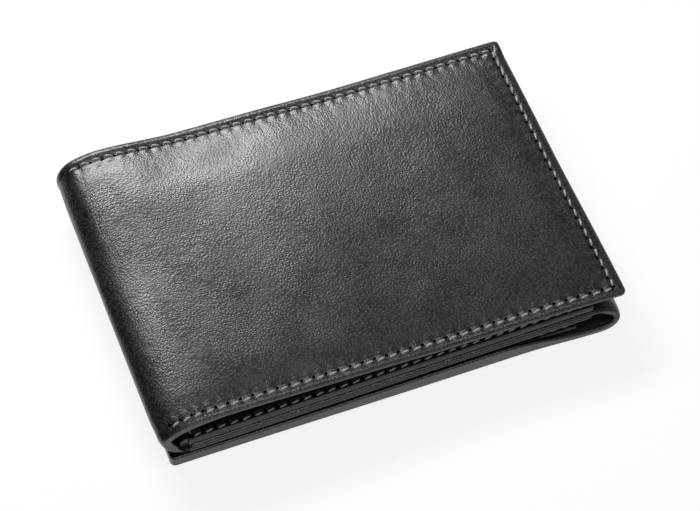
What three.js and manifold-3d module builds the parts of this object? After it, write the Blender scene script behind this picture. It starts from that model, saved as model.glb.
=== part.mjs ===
// A folding card holder: two leather strips that make a letter Z of three panels with rolled folds.
// Millimetres, +X along the panels, -Y the front edge, +Z up, origin under the middle of the folded object.
import * as THREE from "three";
import { mergeVertices } from "three/addons/utils/BufferGeometryUtils.js";
import Module from "manifold-3d";

const wasm = await Module();
wasm.setup();

// Cards the pockets are made for, and the room round them
const CARD_LENGTH = 85.6;
const CARD_HEIGHT = 54;
const CARD_PLAY = 0.8;

// Front edge to back edge of every panel
const PANEL_DEPTH = 72;

// Sheet thicknesses
const LEATHER = 0.8;
const TURNED = 0.4;
const POCKET = 0.4;
const LINING = 0.2;
const GLUE = 0.1;

// Turned edges and sewn margins
const HEM = 6;
const EDGE_ROUND = 0.5;
const CORNER = 1.2;
const INSET = 1;
const SEAM = 2.4;
const JOIN_GAP = 0.3;

// Stepped pockets on the middle and back panels
const POCKET_PLACES = ["rear", "centre", "front"];
const STEP = 10;
const FIRST_OPENING = 8;
const CARD_SHOWS = 7;
const BEAD = 0.25;
const BEAD_WIDTH = 6;

// How the folded panels lie on each other
const MIDDLE_TILT = THREE.MathUtils.degToRad(0.9);
const PANEL_GAP = 0.3;
const FRONT_GAP_RIGHT = 1.4;
const FRONT_GAP_LEFT = 5.5;
const BACK_FREE_EDGE = 2.1;
const MIDDLE_SETBACK = 6.5;
const FRONT_FLAT = 32;
const LEFT_FOLD_WIDTH = 10.5;
const RIGHT_FOLD_WIDTH = 5;
const LEFT_FOLD_BULGE = 0.56;
const QUARTER = 0.5523;
const RISE = 0.66;

const EDGE = LEATHER + TURNED;
const HALF_DEPTH = PANEL_DEPTH / 2;
const edgeRound = Math.min(EDGE_ROUND, 0.45 * EDGE);

// Lengths that follow from the card
const pocketLength = CARD_LENGTH + CARD_PLAY + 2 * (SEAM + JOIN_GAP);
const middleLength = pocketLength + 2 * GLUE;
const FOLDED_LENGTH = middleLength + 2 * MIDDLE_SETBACK;
const HALF_LENGTH = FOLDED_LENGTH / 2;

// Heights of the layered panels
const pocketCount = POCKET_PLACES.length;
const pocketStack = pocketCount * (GLUE + POCKET) + BEAD;
const backFloor = EDGE + GLUE + LINING;
const middleFloor = 2 * EDGE + GLUE;
const middleStack = middleFloor + pocketStack;
const frontStack = EDGE + GLUE + LINING + GLUE + POCKET + BEAD;
const middleLow = backFloor + pocketStack + PANEL_GAP;

// The middle panel runs between the folds; its own frame starts at the left end of its lower face
const middleStart = -HALF_LENGTH + MIDDLE_SETBACK;

function onMiddle(x, z) {
  const cos = Math.cos(MIDDLE_TILT);
  const sin = Math.sin(MIDDLE_TILT);
  return new THREE.Vector3(middleStart + x * cos - z * sin, 0, middleLow + x * sin + z * cos);
}

const frontRight = onMiddle(middleLength, middleStack).z + FRONT_GAP_RIGHT + frontStack;
const frontLeft = onMiddle(0, middleStack).z + FRONT_GAP_LEFT + frontStack;
const backStart = -HALF_LENGTH + BACK_FREE_EDGE;

// Paths of the strips, in the plane of X and Z, along the outer face of the leather
function line(path, from, to) {
  path.add(new THREE.LineCurve3(from, to));
}

function quarter(path, from, to, firstRun, lastRun) {
  const leave = from.clone().addScaledVector(firstRun, QUARTER);
  const arrive = to.clone().addScaledVector(lastRun, QUARTER);
  path.add(new THREE.CubicBezierCurve3(from, leave, arrive, to));
}

function outerStripPath() {
  const crestX = -HALF_LENGTH + LEFT_FOLD_WIDTH;
  const lower = onMiddle(0, 0);
  const freeEdge = new THREE.Vector3(HALF_LENGTH, 0, frontRight);
  const flatEnd = new THREE.Vector3(HALF_LENGTH - FRONT_FLAT, 0, frontRight);
  const crest = new THREE.Vector3(crestX, 0, frontLeft);
  const foldZ = THREE.MathUtils.lerp(lower.z, frontLeft, LEFT_FOLD_BULGE);
  const outermost = new THREE.Vector3(-HALF_LENGTH, 0, foldZ);
  const rise = new THREE.Vector3((flatEnd.x - crest.x) * RISE, 0, 0);
  const toFold = new THREE.Vector3(-LEFT_FOLD_WIDTH, 0, 0);
  const intoMiddle = onMiddle(-(lower.x + HALF_LENGTH), 0).sub(lower);
  const path = new THREE.CurvePath();
  line(path, freeEdge, flatEnd);
  quarter(path, flatEnd, crest, rise.clone().negate(), rise);
  quarter(path, crest, outermost, toFold, new THREE.Vector3(0, 0, frontLeft - foldZ));
  quarter(path, outermost, lower, new THREE.Vector3(0, 0, lower.z - foldZ), intoMiddle);
  line(path, lower, onMiddle(middleLength, 0));
  return path;
}

function innerStripPath() {
  const upper = onMiddle(middleLength, middleFloor);
  const freeEdge = new THREE.Vector3(backStart, 0, 0);
  const foldStart = new THREE.Vector3(HALF_LENGTH - RIGHT_FOLD_WIDTH, 0, 0);
  const outermost = new THREE.Vector3(HALF_LENGTH, 0, upper.z / 2);
  const toFold = new THREE.Vector3(RIGHT_FOLD_WIDTH, 0, 0);
  const intoMiddle = onMiddle(middleLength + HALF_LENGTH - upper.x, middleFloor).sub(upper);
  const path = new THREE.CurvePath();
  line(path, freeEdge, foldStart);
  quarter(path, foldStart, outermost, toFold, new THREE.Vector3(0, 0, -upper.z / 2));
  quarter(path, outermost, upper, new THREE.Vector3(0, 0, upper.z / 2), intoMiddle);
  line(path, upper, onMiddle(0, middleFloor));
  return path;
}

// A stretch of a strip between two lengths along its path
class Stretch extends THREE.Curve {
  constructor(path, from, to) {
    super();
    this.path = path;
    this.from = from;
    this.to = to;
  }

  getPoint(t, target = new THREE.Vector3()) {
    const at = THREE.MathUtils.lerp(this.from, this.to, t) / this.path.getLength();
    return target.copy(this.path.getPoint(at));
  }

  // First axis across the strip, second axis out of its outer face
  computeFrenetFrames(steps) {
    const tangents = Array.from({ length: steps + 1 }, (_, i) => this.getTangentAt(i / steps));
    const normals = tangents.map(() => new THREE.Vector3(0, -1, 0));
    const binormals = tangents.map((t, i) => new THREE.Vector3().crossVectors(t, normals[i]));
    return { tangents, normals, binormals };
  }
}

// Solids from geometry and back
function solid(geometry) {
  const plain = geometry.clone();
  plain.deleteAttribute("normal");
  plain.deleteAttribute("uv");
  const merged = mergeVertices(plain, 1e-4);
  const mesh = new wasm.Mesh({
    numProp: 3,
    vertProperties: new Float32Array(merged.attributes.position.array),
    triVerts: new Uint32Array(merged.index.array),
  });
  return new wasm.Manifold(mesh);
}

function geometryOf(body) {
  const mesh = body.getMesh();
  const geometry = new THREE.BufferGeometry();
  geometry.setAttribute("position", new THREE.BufferAttribute(new Float32Array(mesh.vertProperties), 3));
  geometry.setIndex(new THREE.BufferAttribute(new Uint32Array(mesh.triVerts), 1));
  geometry.computeVertexNormals();
  return geometry;
}

function sweep(section, stretch, steps) {
  return new THREE.ExtrudeGeometry(section, { extrudePath: stretch, steps, curveSegments: 3 });
}

// Rectangle in two coordinates, with each corner rounded
function rectangle(x0, y0, x1, y1, round = 0) {
  const shape = new THREE.Shape();
  if (round === 0) {
    shape.moveTo(x0, y0);
    shape.lineTo(x1, y0);
    shape.lineTo(x1, y1);
    shape.lineTo(x0, y1);
    shape.closePath();
    return shape;
  }
  shape.moveTo(x0 + round, y0);
  shape.lineTo(x1 - round, y0);
  shape.absarc(x1 - round, y0 + round, round, -Math.PI / 2, 0);
  shape.lineTo(x1, y1 - round);
  shape.absarc(x1 - round, y1 - round, round, 0, Math.PI / 2);
  shape.lineTo(x0 + round, y1);
  shape.absarc(x0 + round, y1 - round, round, Math.PI / 2, Math.PI);
  shape.lineTo(x0, y0 + round);
  shape.absarc(x0 + round, y0 + round, round, Math.PI, Math.PI * 1.5);
  shape.closePath();
  return shape;
}

// Upright prism over an outline in X and Y
function prism(outline, low, high, segments = 6) {
  const geometry = new THREE.ExtrudeGeometry(outline, {
    depth: high - low,
    bevelEnabled: false,
    curveSegments: segments,
  });
  geometry.translate(0, 0, low);
  return geometry;
}

// Leather strip section: outer face at 0, both long edges turned in
const fullSection = rectangle(-HALF_DEPTH, -EDGE, HALF_DEPTH, 0, edgeRound);
const recessSection = rectangle(-HALF_DEPTH + HEM, -EDGE - 1, HALF_DEPTH - HEM, -LEATHER);

// Stretch of leather with three turned edges; the recess starts one hem from the free edge
function turnedStretch(path, from, to, freeAtStart, steps) {
  const body = solid(sweep(fullSection, new Stretch(path, from, to), steps));
  const recessFrom = freeAtStart ? from + HEM : from - JOIN_GAP / 2;
  const recessTo = freeAtStart ? to + JOIN_GAP / 2 : to - HEM;
  const recess = solid(sweep(recessSection, new Stretch(path, recessFrom, recessTo), steps));
  return body.subtract(recess);
}

// Prism over an outline in X and Z, across the whole depth
function crossways(outline) {
  const geometry = prism(outline, -HALF_DEPTH - 1, HALF_DEPTH + 1);
  const turn = new THREE.Matrix4().makeBasis(
    new THREE.Vector3(1, 0, 0),
    new THREE.Vector3(0, 0, 1),
    new THREE.Vector3(0, -1, 0),
  );
  return geometry.applyMatrix4(turn);
}

// Rounds a free edge: its corners seen from above, and its top and bottom lines
function roundFreeEdge(body, x0, x1, low) {
  const high = frontLeft + CORNER;
  const around = prism(rectangle(x0, -HALF_DEPTH - 1, x1, HALF_DEPTH + 1), -CORNER, high);
  const corners = prism(rectangle(x0, -HALF_DEPTH, x1, HALF_DEPTH, CORNER), -CORNER, high);
  const block = crossways(rectangle(x0, low, x1, low + EDGE));
  const nose = crossways(rectangle(x0, low, x1, low + EDGE, edgeRound));
  return body.subtract(solid(around).subtract(solid(corners))).subtract(solid(block).subtract(solid(nose)));
}

function channelSection() {
  const shape = new THREE.Shape();
  const round = edgeRound;
  shape.moveTo(-HALF_DEPTH + HEM, -EDGE);
  shape.lineTo(-HALF_DEPTH + HEM, -LEATHER);
  shape.lineTo(HALF_DEPTH - HEM, -LEATHER);
  shape.lineTo(HALF_DEPTH - HEM, -EDGE);
  shape.lineTo(HALF_DEPTH - round, -EDGE);
  shape.absarc(HALF_DEPTH - round, -EDGE + round, round, -Math.PI / 2, 0);
  shape.lineTo(HALF_DEPTH, -round);
  shape.absarc(HALF_DEPTH - round, -round, round, 0, Math.PI / 2);
  shape.lineTo(-HALF_DEPTH + round, 0);
  shape.absarc(-HALF_DEPTH + round, -round, round, Math.PI / 2, Math.PI);
  shape.lineTo(-HALF_DEPTH, -EDGE + round);
  shape.absarc(-HALF_DEPTH + round, -EDGE + round, round, Math.PI, Math.PI * 1.5);
  shape.closePath();
  return shape;
}

// Flat sheet section at a depth below the outer face
function sheetSection(depth, thickness, halfWidth) {
  return rectangle(-halfWidth, -depth - thickness, halfWidth, -depth);
}

// Slip pocket section: sewn at the front edge, open towards the back, with a thicker turned opening
function slipPocketSection(depth) {
  const sewn = HALF_DEPTH - INSET;
  const opening = -HALF_DEPTH + FIRST_OPENING;
  const shape = new THREE.Shape();
  shape.moveTo(opening, -depth);
  shape.lineTo(opening, -depth - POCKET - BEAD);
  shape.lineTo(opening + BEAD_WIDTH, -depth - POCKET - BEAD);
  shape.lineTo(opening + BEAD_WIDTH + 2 * BEAD, -depth - POCKET);
  shape.lineTo(sewn, -depth - POCKET);
  shape.lineTo(sewn, -depth);
  shape.closePath();
  return shape;
}

// Card pocket in a panel's frame: x from 0 to pocketLength, floor at the height it is sewn to.
// The rear and centre pockets are T slips: wide at the opening, narrow below, closed under the card.
function cardPocket(index, floor) {
  const inFront = index === pocketCount - 1;
  const low = floor + GLUE + index * (POCKET + GLUE);
  const opening = HALF_DEPTH - FIRST_OPENING - index * STEP;
  const sewnFront = -HALF_DEPTH + INSET;
  const underCard = Math.max(opening + CARD_SHOWS - CARD_HEIGHT, sewnFront + SEAM + JOIN_GAP);
  const bottom = inFront ? sewnFront : underCard;
  const armBottom = inFront ? sewnFront : opening - STEP + JOIN_GAP;
  const inner = SEAM + JOIN_GAP;

  const profile = new THREE.Shape();
  profile.moveTo(bottom, low);
  profile.lineTo(opening, low);
  profile.lineTo(opening, low + POCKET + BEAD);
  profile.lineTo(opening - BEAD_WIDTH, low + POCKET + BEAD);
  profile.lineTo(opening - BEAD_WIDTH - 2 * BEAD, low + POCKET);
  profile.lineTo(bottom, low + POCKET);
  profile.closePath();
  const sheet = new THREE.ExtrudeGeometry(profile, { depth: pocketLength, bevelEnabled: false });
  const across = new THREE.Matrix4().makeBasis(
    new THREE.Vector3(0, 1, 0),
    new THREE.Vector3(0, 0, 1),
    new THREE.Vector3(1, 0, 0),
  );
  let body = solid(sheet.applyMatrix4(across));

  if (!inFront) {
    for (const x of [-1, pocketLength - inner]) {
      const beside = rectangle(x, bottom - 1, x + inner + 1, armBottom);
      body = body.subtract(solid(prism(beside, low - 1, low + 1)));
    }
  }
  if (index > 0) {
    const margins = [
      rectangle(0, armBottom, SEAM, opening),
      rectangle(pocketLength - SEAM, armBottom, pocketLength, opening),
    ];
    if (inFront) {
      margins.push(rectangle(0, sewnFront, pocketLength, sewnFront + SEAM));
    }
    for (const margin of margins) {
      body = body.add(solid(prism(margin, floor + GLUE, low + POCKET / 2)));
    }
  }
  return body;
}

// The strips and where their folds begin and end, as lengths along each path
const outerPath = outerStripPath();
const innerPath = innerStripPath();
const outerLengths = outerPath.getCurveLengths();
const innerLengths = innerPath.getCurveLengths();
const frontEnd = outerLengths[1];
const leftFoldEnd = outerLengths[3];
const outerEnd = outerLengths[4];
const backEnd = innerLengths[0];
const rightFoldEnd = innerLengths[2];
const innerEnd = innerLengths[3];

// Looks
function look(color, roughness) {
  return new THREE.MeshStandardMaterial({ color, roughness, metalness: 0 });
}

const coverLook = look(0x2b2b2d, 0.42);
const pocketLook = look(0x262628, 0.5);
const liningLook = look(0x17171a, 0.85);
const boardLook = look(0x3a3936, 0.9);

const part = new THREE.Group();
part.name = "folding_card_holder";
const middle = new THREE.Group();
middle.name = "middle_panel_layers";
middle.position.copy(onMiddle(0, 0));
middle.rotation.y = -MIDDLE_TILT;
const back = new THREE.Group();
back.name = "back_panel_layers";
back.position.x = backStart + INSET;
part.add(middle, back);

function place(group, name, geometry, material) {
  const mesh = new THREE.Mesh(geometry, material);
  mesh.name = name;
  group.add(mesh);
}

// Front panel
const FRONT_STEPS = 14;
const FOLD_STEPS = 14;
const boardHalf = HALF_DEPTH - HEM - JOIN_GAP;
const sheetHalf = HALF_DEPTH - INSET;
const frontCover = turnedStretch(outerPath, 0, frontEnd - JOIN_GAP / 2, true, FRONT_STEPS);
const frontRounded = roundFreeEdge(frontCover, -HALF_LENGTH, HALF_LENGTH, frontRight - EDGE);
place(part, "front_cover_leather", geometryOf(frontRounded), coverLook);
place(
  part,
  "front_stiffener",
  sweep(
    sheetSection(LEATHER + GLUE, TURNED - GLUE, boardHalf),
    new Stretch(outerPath, HEM + JOIN_GAP, frontEnd - HEM),
    FRONT_STEPS,
  ),
  boardLook,
);
const frontSheets = new Stretch(outerPath, INSET, frontEnd - JOIN_GAP / 2);
place(
  part,
  "front_lining",
  sweep(sheetSection(EDGE + GLUE, LINING, sheetHalf), frontSheets, FRONT_STEPS),
  liningLook,
);
place(
  part,
  "front_slip_pocket",
  sweep(slipPocketSection(EDGE + 2 * GLUE + LINING), frontSheets, FRONT_STEPS),
  pocketLook,
);

// Left fold
const leftFold = new Stretch(outerPath, frontEnd + JOIN_GAP / 2, leftFoldEnd - JOIN_GAP / 2);
place(part, "left_fold_leather", sweep(channelSection(), leftFold, FOLD_STEPS), coverLook);
place(
  part,
  "left_fold_lining",
  sweep(
    sheetSection(EDGE + GLUE, LINING, sheetHalf),
    new Stretch(outerPath, frontEnd + JOIN_GAP / 2, leftFoldEnd - JOIN_GAP),
    FOLD_STEPS,
  ),
  liningLook,
);

// Middle panel
const middleLower = turnedStretch(outerPath, leftFoldEnd + JOIN_GAP / 2, outerEnd, false, 1);
place(part, "middle_lower_leather", geometryOf(middleLower), coverLook);
const middleUpper = turnedStretch(innerPath, rightFoldEnd + JOIN_GAP / 2, innerEnd, false, 1);
place(part, "middle_upper_leather", geometryOf(middleUpper), coverLook);
const boardEnd = middleLength - HEM - JOIN_GAP;
const boardOutline = rectangle(HEM + JOIN_GAP, -boardHalf, boardEnd, boardHalf, CORNER);
const middleBoard = prism(boardOutline, LEATHER + GLUE, middleFloor - LEATHER - GLUE, 3);
place(middle, "middle_stiffener", middleBoard, boardLook);

// Right fold
const rightFold = new Stretch(innerPath, backEnd + JOIN_GAP / 2, rightFoldEnd - JOIN_GAP / 2);
place(part, "right_fold_leather", sweep(channelSection(), rightFold, FOLD_STEPS), coverLook);
place(
  part,
  "right_fold_lining",
  sweep(
    sheetSection(EDGE + GLUE, LINING, sheetHalf),
    new Stretch(innerPath, backEnd + JOIN_GAP / 2, rightFoldEnd - JOIN_GAP),
    FOLD_STEPS,
  ),
  liningLook,
);

// Back panel
const backCover = turnedStretch(innerPath, 0, backEnd - JOIN_GAP / 2, true, 1);
const backRounded = roundFreeEdge(backCover, backStart, HALF_LENGTH, 0);
place(part, "back_cover_leather", geometryOf(backRounded), coverLook);
const backLength = HALF_LENGTH - RIGHT_FOLD_WIDTH - backStart - JOIN_GAP / 2;
const backBoardEnd = backLength - HEM - INSET;
const backOutline = rectangle(HEM + JOIN_GAP - INSET, -boardHalf, backBoardEnd, boardHalf, CORNER);
place(back, "back_stiffener", prism(backOutline, LEATHER + GLUE, EDGE, 3), boardLook);
const liningOutline = rectangle(0, -sheetHalf, backLength - INSET, sheetHalf);
place(back, "back_lining", prism(liningOutline, EDGE + GLUE, backFloor), liningLook);

// Card pockets on the middle and back panels
POCKET_PLACES.forEach((at, index) => {
  place(middle, `middle_pocket_${at}`, geometryOf(cardPocket(index, middleFloor)), pocketLook);
  place(back, `back_pocket_${at}`, geometryOf(cardPocket(index, backFloor)), pocketLook);
});

export default part;
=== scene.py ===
"""Looks of a black leather card holder that folds in three like a letter Z."""
import math

import bpy
import numpy as np
from mathutils import Matrix, Vector


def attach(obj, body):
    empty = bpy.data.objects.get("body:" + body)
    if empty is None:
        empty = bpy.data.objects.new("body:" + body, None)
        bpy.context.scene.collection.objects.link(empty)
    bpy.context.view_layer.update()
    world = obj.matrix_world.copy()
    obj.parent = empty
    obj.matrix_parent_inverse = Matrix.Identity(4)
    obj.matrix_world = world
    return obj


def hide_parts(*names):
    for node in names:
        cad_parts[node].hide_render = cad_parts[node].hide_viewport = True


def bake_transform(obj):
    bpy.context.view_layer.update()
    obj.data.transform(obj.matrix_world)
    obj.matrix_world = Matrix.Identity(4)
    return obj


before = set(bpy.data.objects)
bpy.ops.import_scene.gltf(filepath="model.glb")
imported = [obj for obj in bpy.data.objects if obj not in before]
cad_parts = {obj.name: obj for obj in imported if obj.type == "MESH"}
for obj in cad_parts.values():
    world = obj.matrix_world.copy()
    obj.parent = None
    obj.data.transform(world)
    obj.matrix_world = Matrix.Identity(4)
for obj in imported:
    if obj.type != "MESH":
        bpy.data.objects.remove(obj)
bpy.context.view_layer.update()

# Sizes are in millimetres until a mesh is made
MM = 0.001

# The folded strips, as in the CAD model
HALF_LENGTH = 52.5
HALF_DEPTH = 36.0
LEATHER = 0.8
EDGE = 1.2
HEM = 6.0
CORNER = 1.2
LIP = 1.95
FOLD_LIP = 2.8
BACK_LIP = 3.3
BACK_LIP_RISE = 0.9
LIP_WIDTH = 0.45
ROLL_WIDTH = 2.0
FULL_ROLL = 0.6
FLAT_ROLL = 0.35
RIM_WIDTH = 2.1
RIM_SLOPE = 0.16
BACK_RIM_SLOPE = 0.26
BACK_RIM_RUN = 0.9
UNDER_ROUND = 0.3
TABLE_GAP = 0.08
EDGE_BAND = 5.0
MIDDLE_TILT = math.radians(0.9)
MIDDLE_START = -46.0
MIDDLE_LENGTH = 92.0
MIDDLE_LOW = 3.55
MIDDLE_FLOOR = 2.5
MIDDLE_STACK = 4.25
FRONT_STACK = 2.25
FRONT_GAP_RIGHT = 1.4
FRONT_GAP_LEFT = 5.5
FRONT_FLAT = 32.0
BACK_START = -50.4
BACK_FLOOR = 1.5
LEFT_FOLD_WIDTH = 10.5
LEFT_FOLD_BULGE = 0.56
RIGHT_FOLD_WIDTH = 5.0
QUARTER = 0.5523
RISE = 0.66

# Pockets, as in the CAD model
POCKET = 0.4
POCKET_LENGTH = 91.8
POCKET_GAP = 0.1
POCKET_INSET = 1.0
POCKET_PLACES = ("rear", "centre", "front")
POCKET_BOTTOMS = (-19.0, -29.0, -35.5)
FIRST_OPENING = 28.0
STEP = 10.0
ARM_GAP = 0.3
SEAM_MARGIN = 2.4
BEAD = 0.25
BEAD_WIDTH = 6.0
SEWN_ROUND = 0.9

# Linings, and the roll that binds the left end of the middle panel
LINING = 0.2
LINING_DEPTH = EDGE + 0.1
PANEL_LINING_START = 0.6
PANEL_LINING_HALF = 35.4
FOLD_LINING_HALF = 35.0
LEFT_LINING_BOW = 0.7
RIGHT_LINING_BOW = 0.2
END_ROLL_REACH = 2.2
END_ROLL_LOW = 1.45

# Sewing
STITCH = 2.75
STITCH_INSET = 2.3
NEAR_INSET = 1.6
THREAD_RADIUS = 0.26
STITCH_SLANT = 0.16
STITCH_GAP = 0.16
# Needle holes are drawn as flat black discs of painted shade, this long and wide, shifted inward and
# lifted off the leather
HOLE_LENGTH = 0.36
HOLE_WIDTH = 0.3
HOLE_SHIFT = 0.42
HOLE_LIFT = 0.12
THREAD_ARCH = 0.3
THREAD_SINK = 0.2
SIDE_SEAM = 0.8
FOLD_SEAM_X = -49.5

# Grain of the leather
PEBBLES_PER_MM = 1.9
PEBBLE_HEIGHT = 0.036

# Where each fold starts and ends its turn, in metres
LEFT_TURN = ((-0.05, 0, 0.0139), (-0.05, 0, 0.0052))
RIGHT_TURN = ((0.05, 0, 0.0016), (0.05, 0, 0.0059))

# Distances between the lines of the meshes
LINE_STEP = 0.1
FINE = 0.36
COARSE = 0.6


def ramp(low, high, value):
    """0 below low, 1 above high, smooth between; low may be above high."""
    t = np.clip((value - low) / (high - low), 0, 1)
    return t * t * (3 - 2 * t)


def bell(value, width):
    return np.exp(-((value / width) ** 2))


def swell(u, v, seed):
    """Smooth waves between -1 and 1 over a plane, one unit from bump to bump."""
    size = 64
    grid = np.random.default_rng(seed).uniform(-1, 1, (size, size))
    iu = np.floor(u).astype(int)
    iv = np.floor(v).astype(int)
    fu = ramp(0, 1, u - iu)
    fv = ramp(0, 1, v - iv)
    left = iu % size
    right = (iu + 1) % size
    low = iv % size
    high = (iv + 1) % size
    near = grid[left, low] * (1 - fu) + grid[right, low] * fu
    far = grid[left, high] * (1 - fu) + grid[right, high] * fu
    return near * (1 - fv) + far * fv


# Paths of the strips in the plane of X and Z
def on_middle(x, z):
    cos = math.cos(MIDDLE_TILT)
    sin = math.sin(MIDDLE_TILT)
    return np.array([MIDDLE_START + x * cos - z * sin, MIDDLE_LOW + x * sin + z * cos])


def line(start, end):
    count = max(2, int(np.linalg.norm(np.subtract(end, start)) / LINE_STEP))
    t = np.linspace(0, 1, count)[:, None]
    return np.asarray(start) * (1 - t) + np.asarray(end) * t


def quarter(start, end, first_run, last_run):
    leave = start + QUARTER * first_run
    arrive = end + QUARTER * last_run
    count = max(2, int(np.linalg.norm(end - start) / LINE_STEP))
    t = np.linspace(0, 1, count)[:, None]
    k = 1 - t
    return k**3 * start + 3 * k * k * t * leave + 3 * k * t * t * arrive + t**3 * end


class Path:
    """A line in X and Z, and the outward side of the strip that follows it."""

    def __init__(self, *runs, flare=None):
        self.ends = []
        self.flare = flare
        points = runs[0]
        for run in runs[1:]:
            self.ends.append(len(points) - 1)
            points = np.vstack([points, run[1:]])
        self.points = points
        steps = np.linalg.norm(np.diff(points, axis=0), axis=1)
        self.s = np.concatenate([[0], np.cumsum(steps)])
        self.ends = [self.s[i] for i in self.ends] + [self.s[-1]]
        along = np.gradient(points, self.s, axis=0)
        along /= np.linalg.norm(along, axis=1)[:, None]
        self.out = np.stack([along[:, 1], -along[:, 0]], 1)

    def x(self, s):
        return np.interp(s, self.s, self.points[:, 0])

    def place(self, s, y, h):
        x = self.x(s) + h * np.interp(s, self.s, self.out[:, 0])
        z = np.interp(s, self.s, self.points[:, 1]) + h * np.interp(s, self.s, self.out[:, 1])
        if self.flare:
            shift_x, shift_y = self.flare(s, y)
            x = x + shift_x
            y = y + shift_y
        return np.stack(np.broadcast_arrays(x, y, z), -1)


def front_flare(s, y):
    """The front panel's nearest free corner is drawn out a little."""
    near_corner = ramp(30, 0, s) * ramp(0, -HALF_DEPTH, y)
    return 0.4 * near_corner, -0.45 * near_corner


def outer_strip():
    front_right = on_middle(MIDDLE_LENGTH, MIDDLE_STACK)[1] + FRONT_GAP_RIGHT + FRONT_STACK
    front_left = on_middle(0, MIDDLE_STACK)[1] + FRONT_GAP_LEFT + FRONT_STACK
    free_edge = np.array([HALF_LENGTH, front_right])
    flat_end = np.array([HALF_LENGTH - FRONT_FLAT, front_right])
    crest = np.array([-HALF_LENGTH + LEFT_FOLD_WIDTH, front_left])
    lower = on_middle(0, 0)
    fold_z = lower[1] + (front_left - lower[1]) * LEFT_FOLD_BULGE
    outermost = np.array([-HALF_LENGTH, fold_z])
    rise = np.array([(flat_end[0] - crest[0]) * RISE, 0])
    into_middle = on_middle(-(lower[0] + HALF_LENGTH), 0) - lower
    return Path(
        line(free_edge, flat_end),
        quarter(flat_end, crest, -rise, rise),
        quarter(crest, outermost, np.array([-LEFT_FOLD_WIDTH, 0]), np.array([0, front_left - fold_z])),
        quarter(outermost, lower, np.array([0, lower[1] - fold_z]), into_middle),
        line(lower, on_middle(MIDDLE_LENGTH, 0)),
        flare=front_flare,
    )


def back_flare(s, y):
    """The back panel's front edge spreads a little past the others, most at the right fold."""
    reach = 0.3 + 0.25 * ramp(10, 60, s) + 0.7 * ramp(80, 98, s)
    return 0, -reach * ramp(112, 100, s) * ramp(0, -HALF_DEPTH, y)


def inner_strip():
    upper = on_middle(MIDDLE_LENGTH, MIDDLE_FLOOR)
    fold_start = np.array([HALF_LENGTH - RIGHT_FOLD_WIDTH, 0])
    half_height = np.array([0, upper[1] / 2])
    outermost = np.array([HALF_LENGTH, upper[1] / 2])
    into_middle = on_middle(MIDDLE_LENGTH + HALF_LENGTH - upper[0], MIDDLE_FLOOR) - upper
    return Path(
        line(np.array([BACK_START, 0]), fold_start),
        quarter(fold_start, outermost, np.array([RIGHT_FOLD_WIDTH, 0]), -half_height),
        quarter(outermost, upper, half_height, into_middle),
        line(upper, on_middle(0, MIDDLE_FLOOR)),
        flare=back_flare,
    )


outer = outer_strip()
inner = inner_strip()
FRONT_END, LEFT_FOLD_END, OUTER_END = outer.ends[1], outer.ends[3], outer.ends[4]
BACK_END, RIGHT_FOLD_END, INNER_END = inner.ends[0], inner.ends[2], inner.ends[3]
middle_face = Path(line(on_middle(MIDDLE_LENGTH - POCKET_GAP, 0), on_middle(POCKET_GAP, 0)))
back_left = BACK_START + POCKET_INSET
back_face = Path(line((back_left + POCKET_LENGTH, 0), (back_left, 0)))


# Meshes
def make(name, points, faces, materials, spots, normals=None, face_materials=None):
    mesh = bpy.data.meshes.new(name)
    mesh.from_pydata((points * MM).tolist(), [], faces)
    mesh.polygons.foreach_set("use_smooth", [True] * len(mesh.polygons))
    for material in materials:
        mesh.materials.append(material)
    if face_materials is not None:
        mesh.polygons.foreach_set("material_index", face_materials)
    mesh.attributes.new("spot", "FLOAT_VECTOR", "POINT").data.foreach_set("vector", spots.ravel())
    if normals is not None:
        mesh.normals_split_custom_set(normals.reshape(-1, 3).tolist())
    mesh.update()
    made = bpy.data.objects.new(name, mesh)
    bpy.context.scene.collection.objects.link(made)
    return made


def unit(vectors):
    return vectors / np.maximum(np.linalg.norm(vectors, axis=-1, keepdims=True), 1e-12)


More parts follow.
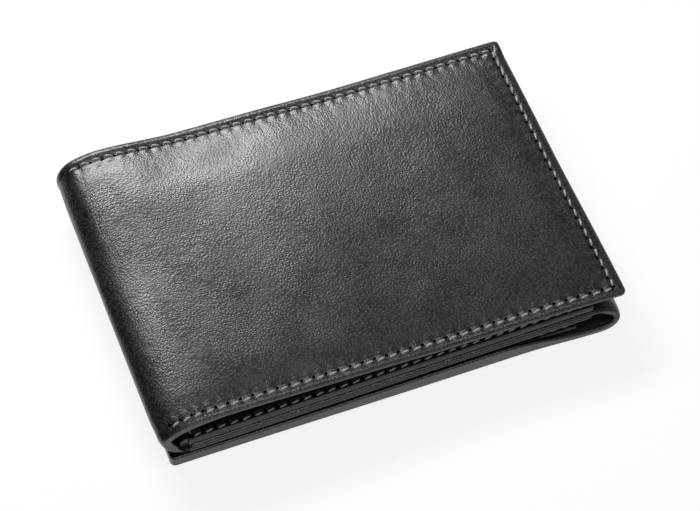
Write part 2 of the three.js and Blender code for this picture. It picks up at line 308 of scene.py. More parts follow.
def slab(name, path, s, y, top, bottom, material, keep=None, ghosts=(0, 0)):
    """A thin closed piece between two heights over a grid of lengths s and places y.
    Ghost rows lie past a cut and only steer the shading there; keep picks the cells that exist."""
    rows = slice(ghosts[0], s.shape[0] - ghosts[1])
    points = []
    normals = []
    spots = []
    for heights, side in ((top, 1), (bottom, -1)):
        grid = path.place(s, y, heights)
        across = np.gradient(grid, axis=1)
        along = np.gradient(grid, axis=0)
        points.append(grid[rows].reshape(-1, 3))
        normals.append(side * unit(np.cross(across, along))[rows].reshape(-1, 3))
        spots.append(np.stack(np.broadcast_arrays(s, y, heights), -1)[rows].reshape(-1, 3))
    n = rows.stop - rows.start
    m = s.shape[1]
    index = np.arange(n * m).reshape(n, m)
    under = index + n * m
    if keep is None:
        keep = np.ones((n - 1, m - 1), bool)
    upper = np.stack([index[:-1, :-1], index[:-1, 1:], index[1:, 1:], index[1:, :-1]], -1)
    lower = np.stack([under[:-1, :-1], under[1:, :-1], under[1:, 1:], under[:-1, 1:]], -1)
    points = np.vstack(points)
    normals = np.vstack(normals)
    faces = [upper[keep], lower[keep]]
    corner_normals = [normals[upper[keep]], normals[lower[keep]]]
    padded = np.pad(keep, 1)
    borders = (
        (padded[:-2, 1:-1], index[:-1, :-1], index[:-1, 1:]),
        (padded[2:, 1:-1], index[1:, 1:], index[1:, :-1]),
        (padded[1:-1, :-2], index[1:, :-1], index[:-1, :-1]),
        (padded[1:-1, 2:], index[:-1, 1:], index[1:, 1:]),
    )
    for beyond, first, second in borders:
        open_side = keep & ~beyond
        a = first[open_side]
        b = second[open_side]
        wall = np.stack([b, a, a + n * m, b + n * m], -1)
        corners = points[wall]
        facing = unit(np.cross(corners[:, 2] - corners[:, 0], corners[:, 3] - corners[:, 1]))
        smooth = np.zeros(points.shape)
        np.add.at(smooth, wall.ravel(), np.repeat(facing, 4, axis=0))
        faces.append(wall)
        corner_normals.append(unit(smooth)[wall])
    faces = np.vstack(faces)
    used = np.unique(faces)
    renumber = np.full(2 * n * m, -1)
    renumber[used] = np.arange(len(used))
    return make(
        name,
        points[used],
        renumber[faces].tolist(),
        [material],
        np.vstack(spots)[used],
        normals=np.vstack(corner_normals),
    )


def grid_lines(low, high, step, round_low=0.0, round_high=0.0):
    """Lines a step apart, with close ones where an edge of that radius is rounded."""
    turns = 1 - np.cos(np.linspace(0, math.pi / 2, 6))
    start = low + round_low * turns if round_low else np.array([low])
    end = high - round_high * turns[::-1] if round_high else np.array([high])
    count = max(2, int(round((end[0] - start[-1]) / step)))
    inside = np.linspace(start[-1], end[0], count + 1)[1:-1]
    return np.concatenate([start, inside, end])


def rounding(distance, radius):
    """How far a rounded edge falls away, by the distance from it."""
    d = np.clip(radius - distance, 0, radius)
    return radius - np.sqrt(np.maximum(radius**2 - d**2, 0))


# Seams
class Seam:
    """A straight row of stitches over a strip, from one (s, y) to another, with its panel's inner side."""

    def __init__(self, start, end, inward):
        self.start = np.array(start, float)
        run = np.array(end, float) - self.start
        self.length = np.linalg.norm(run)
        self.along = run / self.length
        self.inward = np.array(inward, float)
        self.count = max(1, round(self.length / STITCH))
        self.pitch = self.length / self.count

    def coordinates(self, s, y):
        ds = s - self.start[0]
        dy = y - self.start[1]
        return ds * self.along[0] + dy * self.along[1], ds * self.inward[0] + dy * self.inward[1]

    def relief(self, s, y):
        """Groove under the thread, pits at the needle holes and the puckers between them."""
        a, v = self.coordinates(s, y)
        here = ramp(-0.8, 0, a) * ramp(self.length + 0.8, self.length, a)
        wave = 0.5 - 0.5 * np.cos(2 * math.pi * a / self.pitch)
        groove = -(0.2 + 0.14 * (1 - wave) ** 2) * bell(v, np.where(v > 0, 0.5, 0.35))
        pucker = 0.14 * (wave - 0.35) * bell(v - 1.1, 0.9) * ramp(-0.2, 0.3, v)
        return here * (groove + pucker)


def sewn(seams, s, y):
    total = np.zeros(np.broadcast(s, y).shape)
    for seam in seams:
        total = total + seam.relief(s, y)
    return total


def stitching(name, path, seams, surface, side, materials):
    """Thread of the seams lying on a surface, with a flat black disc at each needle hole as painted shade;
    side is -1 on an inner face.
    """
    ring = np.linspace(0, 2 * math.pi, 9)[:-1]
    t = np.linspace(0, 1, 9)
    arch = np.sin(math.pi * t) ** 0.6
    points = []
    faces = []
    marks = []

    def add(block, quads, mark):
        base = sum(len(p) for p in points)
        points.append(block)
        faces.extend((quads + base).tolist())
        marks.extend([mark] * len(quads))

    n = len(t)
    k = len(ring)
    i, j = np.meshgrid(np.arange(n - 1), np.arange(k), indexing="ij")
    tube = np.stack([i * k + j, i * k + (j + 1) % k, (i + 1) * k + (j + 1) % k, (i + 1) * k + j], -1)
    tube = tube.reshape(-1, 4)
    disc = np.stack([np.arange(k), np.roll(np.arange(k), -1), np.full(k, k), np.full(k, k)], -1)
    spots = []
    for seam in seams:
        for stitch in range(seam.count):
            a = (stitch + STITCH_GAP + (1 - 2 * STITCH_GAP) * t) * seam.pitch
            v = STITCH_SLANT * (0.5 - t) * 2
            mid_s = seam.start[0] + seam.along[0] * a + seam.inward[0] * v
            mid_y = seam.start[1] + seam.along[1] * a + seam.inward[1] * v
            level = surface(mid_s, mid_y)
            lift = side * (THREAD_ARCH * arch - THREAD_SINK)
            thick = THREAD_RADIUS * (0.75 + 0.25 * arch)
            off = thick[:, None] * np.cos(ring)[None, :]
            up = side * thick[:, None] * np.sin(ring)[None, :]
            s = mid_s[:, None] + seam.inward[0] * off
            y = mid_y[:, None] + seam.inward[1] * off
            h = (level + lift)[:, None] + up
            add(path.place(s, y, h).reshape(-1, 3), tube, 0)
            spots.append(np.stack([a[:, None] + 0 * off, off, up], -1).reshape(-1, 3))
        # Each needle hole is a flat black disc lifted just off the leather: painted shade of the hole
        for hole in range(seam.count + 1):
            a = hole * seam.pitch + HOLE_LENGTH * np.cos(ring)
            v = HOLE_SHIFT + HOLE_WIDTH * np.sin(ring) * side
            s = seam.start[0] + seam.along[0] * a + seam.inward[0] * v
            y = seam.start[1] + seam.along[1] * a + seam.inward[1] * v
            h = surface(s, y) + side * HOLE_LIFT
            rim = path.place(s, y, h)
            add(np.vstack([rim, rim.mean(0)]), disc, 1)
            spots.append(np.zeros((k + 1, 3)))
    clean = [f if f[2] != f[3] else f[:3] for f in faces]
    return make(name, np.vstack(points), clean, materials, np.vstack(spots), face_materials=marks)


# Materials
def new_material(name):
    material = bpy.data.materials.new(name)
    material.use_nodes = True
    nodes = material.node_tree.nodes
    links = material.node_tree.links
    shader = nodes["Principled BSDF"]
    spot = nodes.new("ShaderNodeAttribute")
    spot.attribute_name = "spot"
    return material, nodes, links, shader, spot.outputs["Vector"]


def noise(nodes, links, where, scale, detail=2.0, roughness=0.5):
    node = nodes.new("ShaderNodeTexNoise")
    node.inputs["Scale"].default_value = scale
    node.inputs["Detail"].default_value = detail
    node.inputs["Roughness"].default_value = roughness
    links.new(where, node.inputs["Vector"])
    return node.outputs["Fac"]


def mapped(nodes, links, value, from_low, from_high, to_low, to_high):
    node = nodes.new("ShaderNodeMapRange")
    node.inputs["From Min"].default_value = from_low
    node.inputs["From Max"].default_value = from_high
    node.inputs["To Min"].default_value = to_low
    node.inputs["To Max"].default_value = to_high
    links.new(value, node.inputs["Value"])
    return node.outputs["Result"]


def combined(nodes, links, first, second, kind):
    node = nodes.new("ShaderNodeMath")
    node.operation = kind
    links.new(first, node.inputs[0])
    if isinstance(second, float):
        node.inputs[1].default_value = second
    else:
        links.new(second, node.inputs[1])
    return node.outputs["Value"]


def colours(nodes, links, value, dark, light):
    node = nodes.new("ShaderNodeValToRGB")
    node.color_ramp.elements[0].color = (*dark, 1)
    node.color_ramp.elements[1].color = (*light, 1)
    links.new(value, node.inputs["Fac"])
    return node.outputs["Color"]


def bumped(nodes, links, shader, height, depth):
    node = nodes.new("ShaderNodeBump")
    node.inputs["Strength"].default_value = 1.0
    node.inputs["Distance"].default_value = depth * MM
    links.new(height, node.inputs["Height"])
    links.new(node.outputs["Normal"], shader.inputs["Normal"])


def leather_material(name, dark, light, rough):
    material, nodes, links, shader, spot = new_material(name)
    cells = nodes.new("ShaderNodeTexVoronoi")
    cells.feature = "SMOOTH_F1"
    cells.inputs["Scale"].default_value = PEBBLES_PER_MM
    cells.inputs["Smoothness"].default_value = 0.3
    cells.inputs["Randomness"].default_value = 0.7
    links.new(spot, cells.inputs["Vector"])
    pebbles = mapped(nodes, links, cells.outputs["Distance"], 0.0, 0.7, 1.0, 0.0)
    patches = noise(nodes, links, spot, 0.12, 3.0)
    links.new(colours(nodes, links, pebbles, dark, light), shader.inputs["Base Color"])
    gloss = mapped(nodes, links, patches, 0.3, 0.7, rough - 0.04, rough + 0.04)
    links.new(gloss, shader.inputs["Roughness"])
    shader.inputs["IOR"].default_value = 1.55
    bumped(nodes, links, shader, pebbles, PEBBLE_HEIGHT)
    return material


def cloth_material(name, dark, light):
    material, nodes, links, shader, spot = new_material(name)
    heights = []
    for direction in ("X", "Y"):
        yarn = nodes.new("ShaderNodeTexWave")
        yarn.bands_direction = direction
        yarn.inputs["Scale"].default_value = 0.9
        yarn.inputs["Distortion"].default_value = 0.4
        links.new(spot, yarn.inputs["Vector"])
        heights.append(yarn.outputs["Fac"])
    weave = combined(nodes, links, heights[0], heights[1], "MULTIPLY")
    links.new(colours(nodes, links, weave, dark, light), shader.inputs["Base Color"])
    fuzz = noise(nodes, links, spot, 3.0)
    links.new(mapped(nodes, links, fuzz, 0.2, 0.8, 0.75, 0.95), shader.inputs["Roughness"])
    bumped(nodes, links, shader, weave, 0.05)
    return material


def thread_material(name, dark, light):
    material, nodes, links, shader, spot = new_material(name)
    twist = nodes.new("ShaderNodeTexWave")
    twist.bands_direction = "DIAGONAL"
    twist.inputs["Scale"].default_value = 1.3
    links.new(spot, twist.inputs["Vector"])
    links.new(colours(nodes, links, twist.outputs["Fac"], dark, light), shader.inputs["Base Color"])
    fuzz = noise(nodes, links, spot, 6.0)
    links.new(mapped(nodes, links, fuzz, 0.2, 0.8, 0.25, 0.45), shader.inputs["Roughness"])
    bumped(nodes, links, shader, twist.outputs["Fac"], 0.04)
    return material


def hole_shade_material(name, dark, light):
    """Painted shade of the needle holes: near-black and matte, as a hole is too dark and narrow to shine.
    """
    material, nodes, links, shader, _ = new_material(name)
    where = nodes.new("ShaderNodeTexCoord").outputs["Object"]
    # The noise varies the painted shade a little
    fibres = noise(nodes, links, where, 2000.0)
    links.new(colours(nodes, links, fibres, dark, light), shader.inputs["Base Color"])
    links.new(mapped(nodes, links, fibres, 0.2, 0.8, 0.85, 1.0), shader.inputs["Roughness"])
    shader.inputs["Specular IOR Level"].default_value = 0.0
    return material


def board_material(name, dark, light):
    material, nodes, links, shader, _ = new_material(name)
    where = nodes.new("ShaderNodeTexCoord").outputs["Object"]
    fibres = noise(nodes, links, where, 900.0, 4.0, 0.7)
    links.new(colours(nodes, links, fibres, dark, light), shader.inputs["Base Color"])
    links.new(mapped(nodes, links, fibres, 0.2, 0.8, 0.8, 0.95), shader.inputs["Roughness"])
    bumped(nodes, links, shader, fibres, 0.05)
    return material


cover_look = leather_material("cover_leather", (0.002, 0.002, 0.0021), (0.03, 0.03, 0.031), 0.33)
pocket_look = leather_material("pocket_leather", (0.004, 0.004, 0.0042), (0.022, 0.022, 0.023), 0.42)
lining_look = cloth_material("lining_fabric", (0.004, 0.004, 0.0045), (0.012, 0.012, 0.013))
# The thread's grey is far lighter than black thread: its own colour with painted sheen, standing in for
# glints too narrow to show
thread_and_sheen_look = thread_material("sewing_thread_and_sheen", (0.15, 0.15, 0.152), (0.36, 0.36, 0.364))
# Near-black matte discs that paint the shade inside the needle holes
hole_shade_look = hole_shade_material("needle_hole_shade", (0.0008, 0.0008, 0.0008), (0.002, 0.002, 0.002))
board_look = board_material("stiffener_board", (0.03, 0.028, 0.026), (0.06, 0.057, 0.052))
# Thread with painted sheen, and needle-hole discs of painted shade
sewing_looks = [thread_and_sheen_look, hole_shade_look]

# Rows of stitches: round the front panel, a little way round the left fold, and round the other panels
SEAM_Y = HALF_DEPTH - STITCH_INSET
NEAR_SEAM_Y = NEAR_INSET - HALF_DEPTH
fold_lengths = np.linspace(FRONT_END, LEFT_FOLD_END, 200)
upper_half = fold_lengths[: np.argmin(outer.x(fold_lengths))]
FOLD_SEAM_END = upper_half[np.argmin(abs(outer.x(upper_half) - FOLD_SEAM_X))]


def long_rows(start, end, near_y):
    """A row along the back edge and one along the front edge, between two lengths."""
    return [Seam((start, y), (end, y), (0, -np.sign(y))) for y in (SEAM_Y, near_y)]


def round_seams(start, end, along_ends):
    """A row along both edges between two lengths, and a row across at each listed end."""
    rows = long_rows(start, end, -SEAM_Y)
    for length, inward in along_ends:
        rows.append(Seam((length, -SEAM_Y), (length, SEAM_Y), (inward, 0)))
    return rows


front_seams = long_rows(STITCH_INSET, FRONT_END, NEAR_SEAM_Y)
front_seams.append(Seam((STITCH_INSET, NEAR_SEAM_Y), (STITCH_INSET, SEAM_Y), (1, 0)))
left_fold_seams = long_rows(FRONT_END, FOLD_SEAM_END, NEAR_SEAM_Y)
lower_start = LEFT_FOLD_END + STITCH_INSET
lower_end = OUTER_END - STITCH_INSET
lower_seams = round_seams(lower_start, lower_end, ((lower_start, 1), (lower_end, -1)))
upper_start = RIGHT_FOLD_END + STITCH_INSET
upper_end = INNER_END - STITCH_INSET
upper_seams = round_seams(upper_start, upper_end, ((upper_start, 1), (upper_end, -1)))
back_seams = round_seams(STITCH_INSET, BACK_END, ((STITCH_INSET, 1),))

outer_seams = front_seams + left_fold_seams + lower_seams
inner_seams = back_seams + upper_seams


# Shape of the leather
def still(s, y):
    return np.zeros(np.broadcast(s, y).shape)


def outer_lip(s, y):
    """Depth of the turned edge, which wraps the lining until the strip joins the middle panel."""
    in_fold = ramp(FRONT_END - 6, FRONT_END + 5, s)
    depth = LIP + (FOLD_LIP - LIP) * in_fold * ramp(10, -10, y)
    return EDGE + (depth - EDGE) * ramp(LEFT_FOLD_END - 1, LEFT_FOLD_END - 6, s)


def inner_lip(s, y):
    """On the back panel the turned edge also wraps the ends of the card pockets."""
    depth = BACK_LIP + BACK_LIP_RISE * ramp(15, 75, s)
    wrapped = LIP + (depth - LIP) * ramp(28, 20, y) * ramp(BACK_END - 2, BACK_END - 24, s)
    return EDGE + (wrapped - EDGE) * ramp(RIGHT_FOLD_END - 1, RIGHT_FOLD_END - 4, s)


def front_drape(s, y):
    """How the front panel lies as a whole, with the fuller shoulder at the back of the left fold."""
    x = outer.x(s)
    on_front = ramp(FRONT_END + 6, FRONT_END - 6, s)
    crown = 0.3 - 0.55 * ((y - 15) / HALF_DEPTH) ** 2
    pillow = 0.8 * (1 - (np.clip(x - 10, 0, 42) / 42) ** 2) * ramp(36, 18, y)
    lifted = 0.6 * ramp(-25, 0, x) + 0.6 * ramp(20, 50, x) * ramp(10, -36, y)
    waves = 0.12 * swell(s / 17 + 3.3, y / 15 + 7.7, 5) + 0.04 * swell(s / 7, y / 8, 8)
    along_fold = s - FRONT_END
    shoulder = 1.6 * ramp(0, 36, y) * ramp(-18, 3, along_fold) * ramp(13, 6, along_fold)
    return on_front * (crown + pillow + lifted + waves) + shoulder


def resting(s, y):
    """The back panel's leather keeps a little off the table, so that its grain and thread clear it."""
    return -TABLE_GAP * ramp(RIGHT_FOLD_END, BACK_END, s) + still(s, y)


def cushion(distance):
    """The leather lies lower along its sewn edge and swells behind the seam."""
    return -0.2 * ramp(8.0, 2.0, distance)


def creases(s, y):
    """Fine creases that run in from the back edge."""
    band = ramp(2.0, 4.0, HALF_DEPTH - y) * ramp(13.0, 7.0, HALF_DEPTH - y)
    return 0.02 * band * swell(s / 0.9, y / 6, 11) + 0.012 * swell(s / 1.7, y / 1.5, 12)


def cross_lines(step):
    """Lines across a strip, close together along its edges."""
    edge = grid_lines(-HALF_DEPTH, EDGE_BAND - HALF_DEPTH, 0.3, ROLL_WIDTH)
    edge = np.sort(np.append(edge, LIP_WIDTH - HALF_DEPTH))
    inside = grid_lines(edge[-1], -edge[-1], step)[1:-1]
    return np.concatenate([edge, inside, -edge[::-1]])


class Stretch:
    """A stretch of a strip with turned edges. free is -1 or 1 for a free start or end, 0 for none."""

    def __init__(self, path, start, end, free, seams, drape, roll, lip=None):
        self.path = path
        self.start = start
        self.end = end
        self.free = free
        self.seams = seams
        self.drape = drape
        self.roll = roll
        self.lip = lip

    def end_distance(self, s):
        if self.free == -1:
            return s - self.start
        if self.free == 1:
            return self.end - s
        return np.full(np.shape(s), 100.0)

    def half_width(self, s):
        """Half the strip's depth, with the corners of a free end rounded."""
        return HALF_DEPTH - rounding(self.end_distance(s), CORNER)

    def distance(self, s, y):
        return np.minimum(self.half_width(s) - abs(y), self.end_distance(s))

    def top(self, s, y):
        distance = self.distance(s, y)
        relief = sewn(self.seams, s, y) + creases(s, y) * ramp(0, 2, distance)
        rolled = rounding(distance / ROLL_WIDTH, 1) * self.roll
        rim = np.maximum(RIM_WIDTH - distance, 0)
        at_back = ramp(31, 34, y)
        sloped = RIM_SLOPE * rim * (1 - at_back) - BACK_RIM_SLOPE * np.minimum(rim, BACK_RIM_RUN) * at_back
        return self.drape(s, y) + relief - rolled + (cushion(distance) - sloped) * self.roll / FULL_ROLL

    def bottom(self, s, y):
        distance = self.distance(s, y)
        thick = LEATHER + (EDGE - LEATHER) * ramp(HEM, HEM - 0.4, distance)
        if self.lip:
            thick = np.where(distance <= LIP_WIDTH + 0.01, self.lip(s, y), thick)
        return self.drape(s, y) - thick + rounding(distance, UNDER_ROUND)

    def piece(self, name, step):
        cut_start = self.free != -1
        cut_end = self.free != 1
        rolls = (0 if cut_start else ROLL_WIDTH, 0 if cut_end else ROLL_WIDTH)
        lengths = grid_lines(self.start, self.end, step, *rolls)
        if cut_start:
            lengths = np.concatenate([[self.start - step], lengths])
        elif self.lip:
            lengths = np.sort(np.append(lengths, self.start + LIP_WIDTH))
        if cut_end:
            lengths = np.concatenate([lengths, [self.end + step]])
        s, y = np.meshgrid(lengths, cross_lines(step * 1.6), indexing="ij")
        y = y * self.half_width(s) / HALF_DEPTH
        top = self.top(s, y)
        bottom = np.minimum(self.bottom(s, y), top - 0.1)
        return slab(name, self.path, s, y, top, bottom, cover_look, None, (int(cut_start), int(cut_end)))

    def sewing(self, name, seams):
        return stitching(name, self.path, seams, self.top, 1, sewing_looks)


def finish_piece(piece, node, body=None, turn=None):
    """Hides the node a piece stands for, and parents the piece to its body, or bakes its place into its
    mesh when it lies on a fold.
    """
    if node:
        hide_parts(node)
    if turn:
        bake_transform(piece)
    else:
        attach(piece, body)


left_turn = ("front_panel", "middle_panel", *LEFT_TURN)
right_turn = ("back_panel", "middle_panel", *RIGHT_TURN)

front = Stretch(outer, 0, FRONT_END, -1, outer_seams, front_drape, FULL_ROLL, outer_lip)
left = Stretch(outer, FRONT_END, LEFT_FOLD_END, 0, outer_seams, front_drape, FULL_ROLL, outer_lip)
lower = Stretch(outer, LEFT_FOLD_END, OUTER_END, 1, outer_seams, still, FLAT_ROLL)
under = Stretch(inner, 0, BACK_END, -1, inner_seams, resting, FLAT_ROLL, inner_lip)
right = Stretch(inner, BACK_END, RIGHT_FOLD_END, 0, inner_seams, resting, FLAT_ROLL, inner_lip)
upper = Stretch(inner, RIGHT_FOLD_END, INNER_END, 1, inner_seams, still, FLAT_ROLL)
finish_piece(front.piece("front_cover", FINE), "front_cover_leather", "front_panel")
finish_piece(left.piece("left_fold", FINE), "left_fold_leather", turn=left_turn)
finish_piece(lower.piece("middle_lower", COARSE), "middle_lower_leather", "middle_panel")
finish_piece(under.piece("back_cover", COARSE), "back_cover_leather", "back_panel")
finish_piece(right.piece("right_fold", FINE), "right_fold_leather", turn=right_turn)
finish_piece(upper.piece("middle_upper", COARSE), "middle_upper_leather", "middle_panel")

# Thread on the covers
finish_piece(front.sewing("front_sewing", front_seams), None, "front_panel")
finish_piece(left.sewing("left_fold_sewing", left_fold_seams), None, turn=left_turn)
finish_piece(lower.sewing("middle_lower_sewing", lower_seams), None, "middle_panel")
finish_piece(under.sewing("back_sewing", back_seams), None, "back_panel")
finish_piece(upper.sewing("middle_upper_sewing", upper_seams[:1]), None, "middle_panel")


# Linings
def lining(name, path, start, end, half, drape, free_start=False, bow=0.0):
    """A sheet of lining behind the leather; bow lifts it off a fold."""
    lengths = grid_lines(start, end, 0.8, 0.3 if free_start else 0)
    across = grid_lines(-half, half, 1.0, 0.3, 0.3)
    s, y = np.meshgrid(lengths, across, indexing="ij")
    lifted = bow * np.sin(math.pi * np.clip((s - start) / (end - start), 0, 1)) ** 2
    whole = drape(s, y) - LINING_DEPTH - lifted
    return slab(name, path, s, y, whole, whole - LINING, lining_look)


front_run = (outer, PANEL_LINING_START, FRONT_END, PANEL_LINING_HALF)
left_run = (outer, FRONT_END, LEFT_FOLD_END, FOLD_LINING_HALF)
right_run = (inner, BACK_END, RIGHT_FOLD_END, FOLD_LINING_HALF)
back_run = (inner, PANEL_LINING_START, BACK_END, PANEL_LINING_HALF)
front_lining = lining("front_panel_lining", *front_run, front_drape, free_start=True)
left_lining = lining("left_lining", *left_run, front_drape, bow=LEFT_LINING_BOW)
right_lining = lining("right_lining", *right_run, resting, bow=RIGHT_LINING_BOW)
back_lining = lining("back_panel_lining", *back_run, resting, free_start=True)
finish_piece(front_lining, "front_lining", "front_panel")
finish_piece(left_lining, "left_fold_lining", turn=left_turn)
finish_piece(right_lining, "right_fold_lining", turn=right_turn)
finish_piece(back_lining, "back_lining", "back_panel")


def cut_size(path, start, end, half):
    """Width and length in metres that a lining was cut to, measured along its own line."""
    lengths = np.linspace(start, end, 200)
    row = path.place(lengths, np.zeros(200), np.full(200, -LINING_DEPTH - LINING / 2))
    return 2 * half * MM, np.linalg.norm(np.diff(row, axis=0), axis=1).sum() * MM


cut_size(*front_run)
cut_size(*left_run)
cut_size(*right_run)
cut_size(*back_run)


# Pockets
def bead_height(y, opening):
    """Extra height of a pocket's turned opening, with a pressed line near its edge."""
    hem = BEAD * ramp(opening - BEAD_WIDTH - 0.5, opening - BEAD_WIDTH, y)
    return hem - 0.08 * bell(y - (opening - 2.0), 0.25)


def pocket_opening(index):
    return FIRST_OPENING - index * STEP


def pocket_top(index, floor, y):
    low = floor + POCKET_GAP + index * (POCKET + POCKET_GAP)
    return low + POCKET + bead_height(y, pocket_opening(index))


def card_pocket(name, path, index, floor, seams):
    in_front = index == len(POCKET_PLACES) - 1
    opening = pocket_opening(index)
    bottom = POCKET_BOTTOMS[index]
    low = floor + POCKET_GAP + index * (POCKET + POCKET_GAP)
    arm_bottom = bottom if in_front else opening - STEP + ARM_GAP
    sides = SEAM_MARGIN + ARM_GAP
    inside = grid_lines(sides, POCKET_LENGTH - sides, 0.5 if in_front else 1.0)
    edge = grid_lines(0, SEAM_MARGIN, 0.3, 0.25)
    s_lines = np.concatenate([edge, inside, POCKET_LENGTH - edge[::-1]])
    if not in_front:
        y_lines = np.sort(np.append(grid_lines(bottom, opening, 0.6, 0.2, 0.3), arm_bottom))
    else:
        sewn_edge = grid_lines(bottom, bottom + EDGE_BAND, 0.25, SEWN_ROUND)
        y_lines = np.concatenate([sewn_edge, grid_lines(bottom + EDGE_BAND, opening, 0.7, 0, 0.3)[1:]])
        y_lines = np.sort(np.append(y_lines, [bottom + SEAM_MARGIN, bottom + SEAM_MARGIN + ARM_GAP]))
    s, y = np.meshgrid(s_lines, y_lines, indexing="ij")
    side_distance = np.minimum(s, POCKET_LENGTH - s)
    distance = np.minimum(side_distance, opening - y)
    waves = 0.03 * swell(s / 9 + index, y / 7, 20 + index)
    top = pocket_top(index, floor, y) + sewn(seams, s, y) + waves * ramp(0, 3, distance)
    top = top - rounding(distance, 0.25)
    margin = side_distance <= SEAM_MARGIN + 0.01
    if in_front:
        top = top - rounding(y - bottom, SEWN_ROUND)
        margin = margin | (y <= bottom + SEAM_MARGIN + 0.01)
    under = np.where(margin & (index > 0), floor + POCKET_GAP, low)
    keep = None
    if not in_front:
        centre_s = (s_lines[:-1] + s_lines[1:]) / 2
        centre_y = (y_lines[:-1] + y_lines[1:]) / 2
        beside = np.minimum(centre_s, POCKET_LENGTH - centre_s) < sides
        keep = ~(beside[:, None] & (centre_y < arm_bottom)[None, :])
    return slab(name, path, s, y, top, np.minimum(under, top - 0.1), pocket_look, keep)


def pocket_seams():
    far = POCKET_LENGTH - SIDE_SEAM
    top_end = FIRST_OPENING - 0.4
    return [
        Seam((SIDE_SEAM, NEAR_SEAM_Y), (far, NEAR_SEAM_Y), (0, 1)),
        Seam((SIDE_SEAM, NEAR_SEAM_Y), (SIDE_SEAM, top_end), (1, 0)),
        Seam((far, NEAR_SEAM_Y), (far, top_end), (-1, 0)),
    ]


def stepped_height(floor):
    """Height of whichever pocket lies uppermost."""

    def height(s, y):
        level = pocket_top(0, floor, y)
        for index in range(1, len(POCKET_PLACES)):
            level = np.where(y < pocket_opening(index), pocket_top(index, floor, y), level)
        return level

    return height


def sewn_steps(floor, seams):
    """Height of the uppermost pocket with its seams pressed in."""
    level = stepped_height(floor)

    def height(s, y):
        return level(s, y) + sewn(seams, s, y)

    return height


for panel, path, floor in (("middle", middle_face, MIDDLE_FLOOR), ("back", back_face, BACK_FLOOR)):
    rows = pocket_seams()
    for index, at in enumerate(POCKET_PLACES):
        pocket = card_pocket(f"{panel}_{at}_pocket", path, index, floor, rows)
        finish_piece(pocket, f"{panel}_pocket_{at}", f"{panel}_panel")
    thread = stitching(f"{panel}_pocket_sewing", path, rows, sewn_steps(floor, rows), 1, sewing_looks)
    finish_piece(thread, None, f"{panel}_panel")


class EndRoll:
    """A roll of leather that binds the left end of the middle panel, as tall as the pockets there."""

    def __init__(self, level):
        self.level = level

    def place(self, s, y, h):
        turn = s / END_ROLL_REACH
        half = (self.level(s, y) - END_ROLL_LOW) / 2
        x = POCKET_GAP / 2 - (END_ROLL_REACH + h) * np.sin(turn)
        z = END_ROLL_LOW + half + (half + h) * np.cos(turn)
        x, z = on_middle(x, z)
        return np.stack(np.broadcast_arrays(x, y, z), -1)


def end_roll():
    half = HALF_DEPTH - POCKET_INSET
    lengths = np.linspace(0, math.pi * END_ROLL_REACH, 25)
    s, y = np.meshgrid(lengths, grid_lines(-half, half, 0.4, 0.5, 0.5), indexing="ij")
    level = stepped_height(MIDDLE_FLOOR)
    whole = 0.05 * swell(s / 1.5, y / 3, 31) - rounding(half - abs(y), 0.5)
    core = -0.48 * (level(s, y) - END_ROLL_LOW)
    return slab("middle_end_roll", EndRoll(level), s, y, whole, core, cover_look)


end_binding = end_roll()
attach(end_binding, "middle_panel")


def slip_pocket():
    """The one flat pocket inside the front panel, open towards the back edge."""
    depth = LINING_DEPTH + LINING + 0.1
    lengths = grid_lines(POCKET_INSET, FRONT_END, 0.8, 0.25)
    across = grid_lines(-HALF_DEPTH + POCKET_INSET, FIRST_OPENING, 0.8, 0.25, 0.3)
    s, y = np.meshgrid(lengths, across, indexing="ij")
    distance = np.minimum(np.minimum(s - POCKET_INSET, FIRST_OPENING - y), y + HALF_DEPTH - POCKET_INSET)
    whole = front_drape(s, y) - depth
    under = whole - POCKET - bead_height(y, FIRST_OPENING) + rounding(distance, 0.25)
    return slab("front_slip", outer, s, y, whole, under, pocket_look)


finish_piece(slip_pocket(), "front_slip_pocket", "front_panel")


# Board in the front panel, and the boards that show nowhere
def front_board():
    lengths = grid_lines(HEM + 0.3, FRONT_END - HEM, 1.5)
    across = grid_lines(-HALF_DEPTH + HEM + 0.3, HALF_DEPTH - HEM - 0.3, 1.5)
    s, y = np.meshgrid(lengths, across, indexing="ij")
    whole = front_drape(s, y) - LEATHER - 0.1
    return slab("front_board", outer, s, y, whole, whole - 0.3, board_look)


finish_piece(front_board(), "front_stiffener", "front_panel")
for name in ("middle_stiffener", "back_stiffener"):
    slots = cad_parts[name].data.materials
    slots.clear()
    slots.append(board_look)


# Thread where it shows on the linings inside the front and back panels
def lined_face(stretch, pocket):
    """Height of the inner face, with or without a flat pocket over the lining."""

    def height(s, y):
        depth = LINING_DEPTH + LINING
        if pocket:
            depth = depth + np.where(y < FIRST_OPENING, 0.1 + POCKET + bead_height(y, FIRST_OPENING), 0)
        return stretch.drape(s, y) - depth

    return height


front_height = lined_face(front, True)
front_inside = stitching("front_inner_sewing", outer, front_seams, front_height, -1, sewing_looks)
finish_piece(front_inside, None, "front_panel")
back_height = lined_face(under, False)
back_inside = stitching("back_inner_sewing", inner, back_seams[:1], back_height, -1, sewing_looks)
finish_piece(back_inside, None, "back_panel")

# Floor, light and camera, in metres
FLOOR_HALF = 3.0
FLOOR_WHITE = 0.82
CARD_X = -0.075
CARD_HALF = 0.2
CARD_HEIGHT = 0.07


def flat_piece(name, corners, material):
    mesh = bpy.data.meshes.new(name)
    mesh.from_pydata(corners, [], [(0, 1, 2, 3)])
    mesh.materials.append(material)
    made = bpy.data.objects.new(name, mesh)
    bpy.context.scene.collection.objects.link(made)
    return made


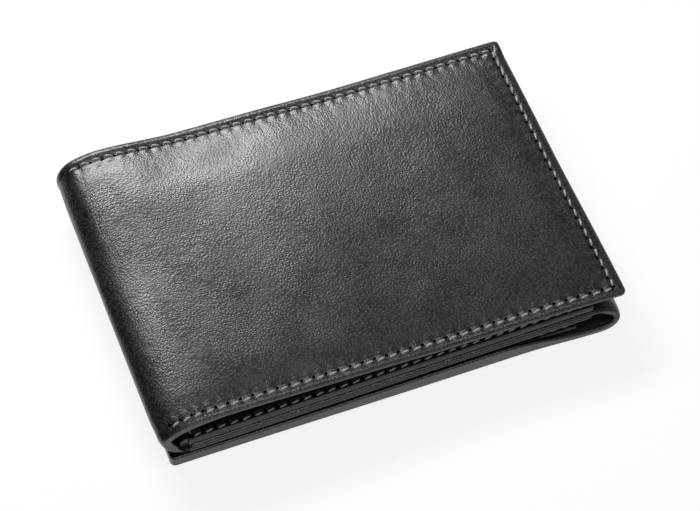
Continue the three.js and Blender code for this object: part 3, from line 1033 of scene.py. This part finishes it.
def floor_material():
    """Pale paint that takes the shadow, whitened where the camera sees it or its reflection."""
    material = bpy.data.materials.new("floor")
    material.use_nodes = True
    material.cycles.emission_sampling = "NONE"
    nodes = material.node_tree.nodes
    links = material.node_tree.links
    paint = nodes["Principled BSDF"]
    paint.inputs["Base Color"].default_value = (0.85, 0.85, 0.85, 1)
    paint.inputs["Roughness"].default_value = 0.9
    white = nodes.new("ShaderNodeEmission")
    white.inputs["Color"].default_value = (1, 1, 1, 1)
    ray = nodes.new("ShaderNodeLightPath")
    seen = combined(nodes, links, ray.outputs["Is Camera Ray"], ray.outputs["Is Glossy Ray"], "MAXIMUM")
    seen = combined(nodes, links, seen, ray.outputs["Is Transmission Ray"], "MAXIMUM")
    mix = nodes.new("ShaderNodeMixShader")
    links.new(combined(nodes, links, seen, FLOOR_WHITE, "MULTIPLY"), mix.inputs["Fac"])
    links.new(paint.outputs["BSDF"], mix.inputs[1])
    links.new(white.outputs["Emission"], mix.inputs[2])
    links.new(mix.outputs["Shader"], nodes["Material Output"].inputs["Surface"])
    return material


def lay_floor():
    half = FLOOR_HALF
    corners = [(-half, -half, 0), (half, -half, 0), (half, half, 0), (-half, half, 0)]
    return flat_piece("floor", corners, floor_material())


def stand_card():
    """A black card beside the left fold, seen only in reflections."""
    material = bpy.data.materials.new("black_card")
    material.use_nodes = True
    paint = material.node_tree.nodes["Principled BSDF"]
    paint.inputs["Base Color"].default_value = (0.005, 0.005, 0.005, 1)
    corners = [
        (CARD_X, -CARD_HALF, 0),
        (CARD_X, CARD_HALF, 0),
        (CARD_X, CARD_HALF, CARD_HEIGHT),
        (CARD_X, -CARD_HALF, CARD_HEIGHT),
    ]
    card = flat_piece("black_card", corners, material)
    card.visible_camera = False
    card.visible_diffuse = False
    card.visible_shadow = False
    return card


lay_floor()
stand_card()


def area_light(name, azimuth, elevation, distance, width, height, power):
    """A soft box aimed at the object; azimuth 0 is behind it, 90 on its right."""
    a = math.radians(azimuth)
    e = math.radians(elevation)
    towards = Vector((math.sin(a) * math.cos(e), math.cos(a) * math.cos(e), math.sin(e)))
    data = bpy.data.lights.new(name, "AREA")
    data.shape = "RECTANGLE"
    data.size = width
    data.size_y = height
    data.energy = power
    lamp = bpy.data.objects.new(name, data)
    lamp.location = towards * distance
    lamp.rotation_euler = towards.to_track_quat("Z", "Y").to_euler()
    bpy.context.scene.collection.objects.link(lamp)


area_light("back_left_box", -10.5, 44.3, 0.315, 0.24, 0.072, 1.28)
area_light("top_box", 180, 78, 0.6, 0.4, 0.08, 0.9)
area_light("front_box", 192, 22, 0.7, 0.5, 0.25, 0.8)


def light_sky():
    """A dim sky, brighter low down and in front, dark on the left."""
    world = bpy.data.worlds.new("studio")
    world.use_nodes = True
    nodes = world.node_tree.nodes
    links = world.node_tree.links
    direction = nodes.new("ShaderNodeTexCoord")
    parts = nodes.new("ShaderNodeSeparateXYZ")
    links.new(direction.outputs["Generated"], parts.inputs["Vector"])
    low_glow = mapped(nodes, links, parts.outputs["Z"], 0.2, 0.6, 0.42, 0.18)
    left_shade = mapped(nodes, links, parts.outputs["X"], -0.7, -0.1, 0.1, 1.0)
    front_glow = mapped(nodes, links, parts.outputs["Y"], -0.7, -0.2, 0.15, 0.0)
    around = combined(nodes, links, low_glow, left_shade, "MULTIPLY")
    sky = nodes["Background"]
    sky.inputs["Color"].default_value = (1, 1, 1, 1)
    links.new(combined(nodes, links, around, front_glow, "ADD"), sky.inputs["Strength"])
    bpy.context.scene.world = world


light_sky()

CAMERA_AZIMUTH = math.radians(-21.03)
CAMERA_ELEVATION = math.radians(56.31)
CAMERA_ROLL = math.radians(0.36)
CAMERA_DISTANCE = 0.6122
CAMERA_TARGET = Vector((0.00227, -0.00283, 0.006))
LENS = 144.2


def place_camera():
    level = math.cos(CAMERA_ELEVATION)
    back = Vector(
        (
            math.sin(CAMERA_AZIMUTH) * level,
            -math.cos(CAMERA_AZIMUTH) * level,
            math.sin(CAMERA_ELEVATION),
        )
    )
    level_right = Vector((math.cos(CAMERA_AZIMUTH), math.sin(CAMERA_AZIMUTH), 0))
    level_up = back.cross(level_right)
    right = level_right * math.cos(CAMERA_ROLL) + level_up * math.sin(CAMERA_ROLL)
    up = back.cross(right)
    turn = Matrix((right, up, back)).transposed().to_4x4()
    data = bpy.data.cameras.new("camera")
    data.lens = LENS
    camera = bpy.data.objects.new("camera", data)
    camera.matrix_world = Matrix.Translation(CAMERA_TARGET + back * CAMERA_DISTANCE) @ turn
    bpy.context.scene.collection.objects.link(camera)
    bpy.context.scene.camera = camera


place_camera()
bpy.context.scene.view_settings.view_transform = "Standard"
